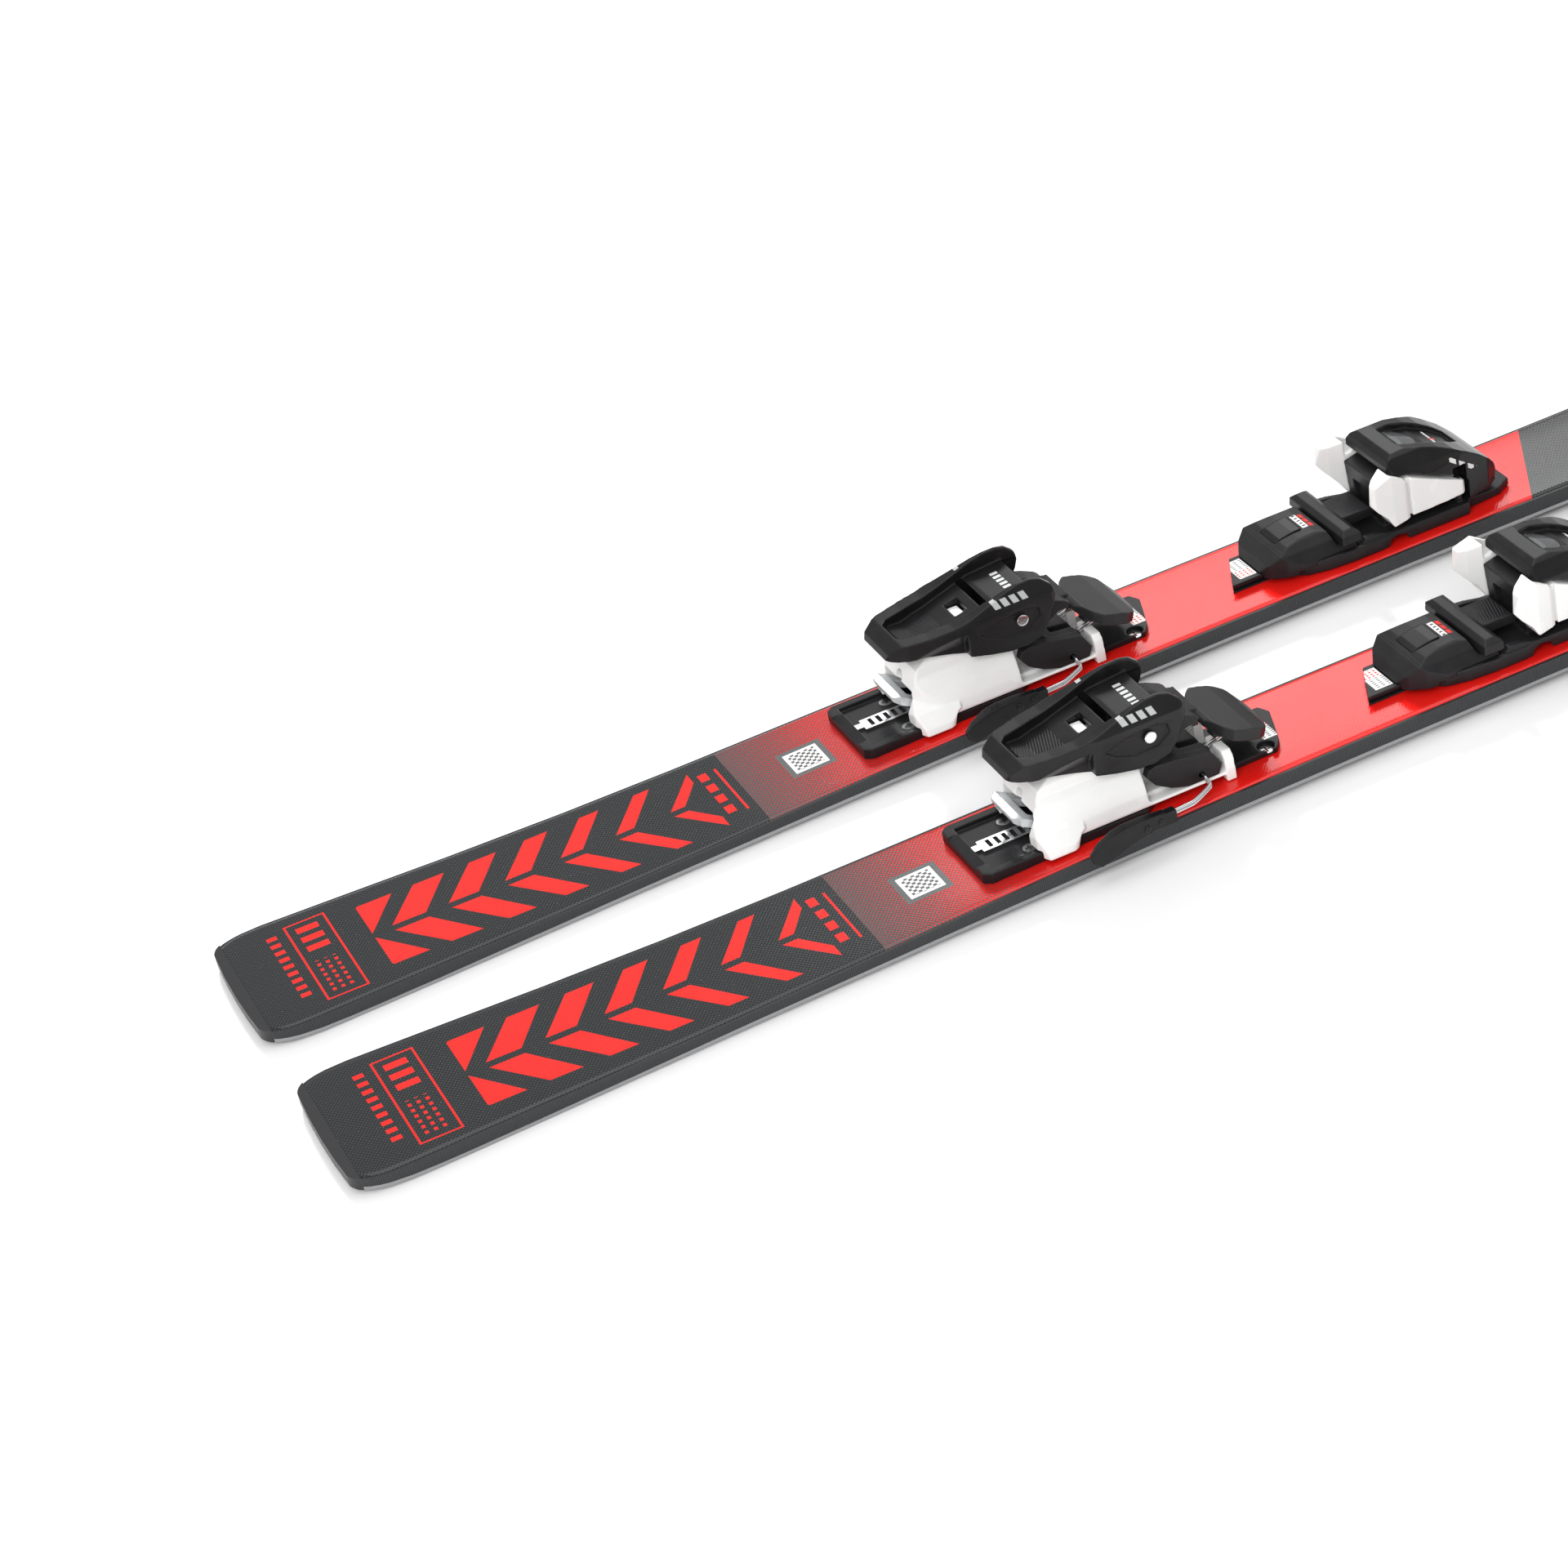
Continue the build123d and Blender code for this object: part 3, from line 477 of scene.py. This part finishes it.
# ---- Meshes ----
def body_of_node(node):
    """The body that holds a CAD node, from the record."""
    for body, nodes in frame["record"]["behaviour"]["bodies"].items():
        if node in nodes:
            return body
    raise KeyError(node)


def slot_of_node(node):
    """The material slot of a CAD node, from the record."""
    for part in frame["record"]["subparts"]:
        if part["node"] == node:
            return part["material_slot"]
    raise KeyError(node)


def new_object(name, mesh, material=None):
    piece = bpy.data.objects.new(name, mesh)
    bpy.context.scene.collection.objects.link(piece)
    if material:
        mesh.materials.clear()
        mesh.materials.append(material)
    return piece


def shaded_smooth(mesh, angle):
    """Smooth shading, with edges sharper than angle, in degrees, kept sharp."""
    for polygon in mesh.polygons:
        polygon.use_smooth = True
    mesh.set_sharp_from_angle(angle=math.radians(angle))


def applied(piece):
    """The piece's mesh with its modifiers applied."""
    graph = bpy.context.evaluated_depsgraph_get()
    mesh = bpy.data.meshes.new_from_object(piece.evaluated_get(graph))
    piece.modifiers.clear()
    piece.data = mesh
    return mesh


def moulded(node, voxel, passes, keep):
    """A CAD shape with the soft corners of a moulding."""
    source = frame["nodes"]["right_" + node]
    piece = new_object("shape_" + node, source.data.copy())
    remesh = piece.modifiers.new("remesh", "REMESH")
    remesh.mode = "VOXEL"
    remesh.voxel_size = voxel * MM
    smooth = piece.modifiers.new("smooth", "SMOOTH")
    smooth.factor = 0.5
    smooth.iterations = passes
    thin = piece.modifiers.new("thin", "DECIMATE")
    thin.ratio = keep
    mesh = applied(piece)
    bpy.data.objects.remove(piece)
    return mesh


def for_both_feet(name, mesh, node, material, replaces=True):
    """The mesh, made for the right ski, on both skis as a piece that rides with a CAD node."""
    for foot, offset in FEET.items():
        own = mesh.copy()
        own.transform(Matrix.Translation((offset - FEET["right"], 0, 0)))
        piece = new_object(f"{foot}_{name}", own, material)
        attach(piece, body_of_node(f"{foot}_{node}"))
        if replaces:
            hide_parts(f"{foot}_{node}")


# ---- The skis ----
SKIN = 0.9 * MM
SHOULDER = 3.6 * MM
SHOULDER_DROP = 1.1 * MM
SHOULDER_TURN = math.radians(78)
SKIN_ROWS = 320
SHOULDER_STEPS = 6


def first_hit(tree, origin, direction, aside):
    """Where a ray meets a mesh. A ray that slips through between two faces is cast again a little aside."""
    for i in range(20):
        hit = tree.ray_cast(Vector(origin) + Vector(aside) * i, Vector(direction))[0]
        if hit is not None:
            return hit
    raise ValueError(f"nothing at {origin}")


def topsheet_mesh(foot):
    """The top skin: flat across, with rolled shoulders."""
    depsgraph = bpy.context.evaluated_depsgraph_get()
    tree = BVHTree.FromObject(frame["nodes"][f"{foot}_topsheet"], depsgraph)
    low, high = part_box(f"{foot}_topsheet")
    start, end = low[1] + 0.1 * MM, high[1] - 0.1 * MM
    mesh = bmesh.new()
    rings = []
    for i in range(SKIN_ROWS + 1):
        y = start + (end - start) * 0.5 * (1 - math.cos(math.pi * i / SKIN_ROWS))
        top = first_hit(tree, (FEET[foot], y, 0.3), (0, 0, -1), (0.31 * MM, 0, 0)).z
        edge = first_hit(tree, (FEET[foot] + 0.2, y, top - SKIN / 2), (-1, 0, 0), (0, 0, 0.02 * MM)).x
        half = edge - FEET[foot]
        roll = min(SHOULDER, half * 0.4)
        section = []
        for k in range(SHOULDER_STEPS + 1):
            angle = SHOULDER_TURN * k / SHOULDER_STEPS
            out = half - roll + roll * math.sin(angle)
            section.append((out, top - SHOULDER_DROP * (1 - math.cos(angle))))
        section.append((half, top - SHOULDER_DROP - 0.1 * MM))
        half_ring = [(0.0, top), ((half - roll) * 0.5, top)] + section
        ring = half_ring + [(half * 0.5, top - SHOULDER_DROP - 0.15 * MM)]
        ring = ring + [(-x, z) for x, z in reversed(ring[1:])]
        rings.append([mesh.verts.new((FEET[foot] + x, y, z)) for x, z in ring])
    for a, b in zip(rings, rings[1:]):
        for j in range(len(a)):
            mesh.faces.new((a[j], a[(j + 1) % len(a)], b[(j + 1) % len(a)], b[j]))
    mesh.faces.new(rings[0])
    mesh.faces.new(reversed(rings[-1]))
    bmesh.ops.recalc_face_normals(mesh, faces=mesh.faces)
    result = bpy.data.meshes.new(f"{foot}_topsheet_skin")
    mesh.to_mesh(result)
    mesh.free()
    shaded_smooth(result, 50)
    return result


for foot in FEET:
    skin = new_object(f"{foot}_topsheet_skin", topsheet_mesh(foot), TOPSHEETS[foot])
    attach(skin, f"{foot}_ski")
    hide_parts(f"{foot}_topsheet")

# ---- Moulded parts: the node, voxel size in millimetres, smoothing passes, share of faces kept ----
MOULDED = [
    ("heel_track", 0.45, 4, 0.4),
    ("heel_housing", 0.5, 9, 0.5),
    ("heel_latch", 0.35, 6, 0.5),
    ("heel_cup", 0.5, 6, 0.4),
    ("heel_lever", 0.42, 7, 0.5),
    ("lever_rivet", 0.3, 5, 0.5),
    ("brake_base", 0.42, 5, 0.4),
    ("brake_pad", 0.42, 8, 0.4),
    ("brake_blades", 0.33, 6, 0.5),
    ("toe_track", 0.4, 4, 0.3),
    ("toe_frame", 0.45, 5, 0.45),
    ("toe_cover", 0.42, 7, 0.5),
    ("wing_right", 0.38, 7, 0.5),
    ("wing_left", 0.38, 7, 0.5),
    ("toe_pad", 0.42, 5, 0.4),
    ("release_tab", 0.3, 4, 0.4),
    ("afd_bar", 0.4, 5, 0.4),
]
for node, voxel, passes, keep in MOULDED:
    shape = moulded(node, voxel, passes, keep)
    shaded_smooth(shape, 40)
    for_both_feet(node + "_moulding", shape, node, MATERIALS[slot_of_node("right_" + node)])


# ---- Machined and stamped parts: the CAD shape with its sharp edges just broken ----
def machined(node, width):
    piece = new_object("shape_" + node, frame["nodes"]["right_" + node].data.copy())
    for polygon in piece.data.polygons:
        polygon.use_smooth = False
    bevel = piece.modifiers.new("bevel", "BEVEL")
    bevel.width = width * MM
    bevel.segments = 2
    bevel.limit_method = "ANGLE"
    bevel.angle_limit = math.radians(50)
    mesh = applied(piece)
    bpy.data.objects.remove(piece)
    shaded_smooth(mesh, 35)
    return mesh


for node, width in (("heel_ladder", 0.15), ("mounting_screws", 0.12)):
    for_both_feet(node + "_machined", machined(node, width), node, MATERIALS[slot_of_node("right_" + node)])


# ---- Brake wires: a doubled wire on each side, and the hoop under the pedal ----
WIRE_RADIUS = 0.78
WIRE_OFFSET = 0.84             # of each wire of a pair from the route between them
HOOP_RADIUS = 1.3
WIRE_ROUTE = [
    (10, 489.5, 33.2), (10, 466.5, 24.9), (10.4, 464.2, 24), (13.5, 464, 24), (26.8, 464, 24),
    (29.4, 464.3, 23), (31.0, 465.4, 20.6), (32.0, 463.8, 20.4), (38.2, 452.6, 20.4), (39.0, 449, 20.4),
    (40.2, 406, 19.5),
]
HOOP_ROUTE = [
    (-3.2, 499, 31), (-3.2, 502.6, 23.6), (-2.4, 503, 23), (2.4, 503, 23), (3.2, 502.6, 23.6), (3.2, 499, 31),
]


def wire_mesh(route, radius, lift=0.0, flip=1):
    """A round wire along a route that is given on the right ski."""
    data = bpy.data.curves.new("wire_route", "CURVE")
    data.dimensions = "3D"
    spline = data.splines.new("NURBS")
    spline.points.add(len(route) - 1)
    for point, (x, y, z) in zip(spline.points, route):
        point.co = (*at("right", x * flip, y, z + lift), 1)
    spline.order_u = 3
    spline.use_endpoint_u = True
    spline.resolution_u = 10
    data.bevel_depth = radius * MM
    data.bevel_resolution = 5
    data.use_fill_caps = True
    helper = new_object("wire_helper", data)
    graph = bpy.context.evaluated_depsgraph_get()
    mesh = bpy.data.meshes.new_from_object(helper.evaluated_get(graph))
    bpy.data.objects.remove(helper)
    return mesh


def joined(meshes, name):
    mesh = bmesh.new()
    for part in meshes:
        mesh.from_mesh(part)
    result = bpy.data.meshes.new(name)
    mesh.to_mesh(result)
    mesh.free()
    return result


wires = [
    wire_mesh(WIRE_ROUTE, WIRE_RADIUS, lift, flip) for flip in (1, -1) for lift in (-WIRE_OFFSET, WIRE_OFFSET)
]
wires.append(wire_mesh(HOOP_ROUTE, HOOP_RADIUS))
brake_wires = joined(wires, "brake_wires")
shaded_smooth(brake_wires, 60)
for_both_feet("brake_wires", brake_wires, "brake_arms", MATERIALS["wire_chrome"])


# ---- The clear pane over the toe's scale ----
PANE_START = 675.0
PANE_LENGTH = 33.0


def pane_mesh():
    """A thin domed pane that widens, then narrows, as it slopes down to the front."""
    mesh = bmesh.new()
    across, along = 14, 18
    rows = []
    for i in range(along + 1):
        t = i / along
        y = PANE_START + PANE_LENGTH * t
        half = 10.6 + 2.7 * math.sin(math.pi * min(t * 1.05, 1.0)) - 3.2 * max(0.0, t - 0.72) / 0.28
        base = 60.2 - 13.4 * t - 1.2 * t * t
        crown = 1.1 * math.sin(math.pi * t)
        rows.append([
            mesh.verts.new(at("right", half * u, y, base + crown * (1 - u * u)))
            for u in (2 * k / across - 1 for k in range(across + 1))
        ])
    for a, b in zip(rows, rows[1:]):
        for k in range(across):
            mesh.faces.new((a[k], a[k + 1], b[k + 1], b[k]))
    bmesh.ops.recalc_face_normals(mesh, faces=mesh.faces)
    bmesh.ops.solidify(mesh, geom=mesh.faces[:], thickness=0.8 * MM)
    result = bpy.data.meshes.new("toe_pane")
    mesh.to_mesh(result)
    mesh.free()
    shaded_smooth(result, 45)
    return result


for_both_feet("toe_pane", pane_mesh(), "toe_cover", clear_material("toe_pane", 0.92, 0.03), replaces=False)

# ---- Materials on the CAD parts that show as they are ----
for node, part in frame["nodes"].items():
    slot_name = slot_of_node(node)
    finish = TOPSHEETS[node.split("_")[0]] if slot_name == "topsheet" else MATERIALS[slot_name]
    for material_slot in part.material_slots:
        material_slot.material = finish

# ---- Floor, light and camera ----
FLOOR_REACH = 12.0
FLOOR_GAP = 0.2 * MM
corners = [(x * FLOOR_REACH, y * FLOOR_REACH, 0) for x, y in ((-1, -1), (1, -1), (1, 1), (-1, 1))]
floor_mesh = bpy.data.meshes.new("floor")
floor_mesh.from_pydata(corners, [], [(0, 1, 2, 3)])
floor_paint = Graph("floor").finish(Base_Color=(0.86, 0.86, 0.86), Roughness=0.9)
floor = new_object("floor", floor_mesh, floor_paint)
floor.location.z = -FLOOR_GAP


def area_light(name, place, target, size, power, size_y=None):
    """A lamp at a place that faces the target, with sizes in metres and power in watts."""
    data = bpy.data.lights.new(name, "AREA")
    data.energy = power
    data.shape = "RECTANGLE"
    data.size = size
    data.size_y = size_y or size
    lamp = bpy.data.objects.new(name, data)
    bpy.context.scene.collection.objects.link(lamp)
    lamp.location = place
    lamp.rotation_euler = (Vector(target) - Vector(place)).to_track_quat("-Z", "Y").to_euler()
    return lamp


key = area_light("key", (-3.8, 0.2, 2.6), (0, -0.2, 0), 0.7, 190)
key.visible_glossy = False
area_light("window", (-1.55, 0.62, 1.15), (0, -0.2, 0), 1.0, 4.6, 0.5)
area_light("overhead", (-0.3, 0.0, 2.4), (0.05, -0.15, 0), 2.4, 24)
fill = area_light("fill", (2.2, -1.9, 1.9), (0, -0.3, 0), 2.2, 86)
fill.visible_glossy = False
world = bpy.data.worlds.new("studio")
bpy.context.scene.world = world
world.use_nodes = True
room = world.node_tree.nodes["Background"]
room.inputs["Color"].default_value = (1, 1, 1, 1)
room.inputs["Strength"].default_value = 0.46
bpy.context.scene.view_settings.view_transform = "Standard"

CAMERA_AT = Vector((1.6409, -0.9639, 1.1408))
LOOKS_ALONG = Vector((-0.80714, 0.24415, -0.53750))
CAMERA_RIGHT = Vector((0.39583, 0.89931, -0.18590))
camera_data = bpy.data.cameras.new("camera")
camera_data.lens = 94.1
camera_data.sensor_width = 36.0
camera_data.clip_end = 50.0
camera = bpy.data.objects.new("camera", camera_data)
bpy.context.scene.collection.objects.link(camera)
up = CAMERA_RIGHT.cross(LOOKS_ALONG).normalized()
turn = Matrix((CAMERA_RIGHT, up, -LOOKS_ALONG)).transposed()
camera.matrix_world = Matrix.Translation(CAMERA_AT) @ turn.to_4x4()
bpy.context.scene.camera = camera
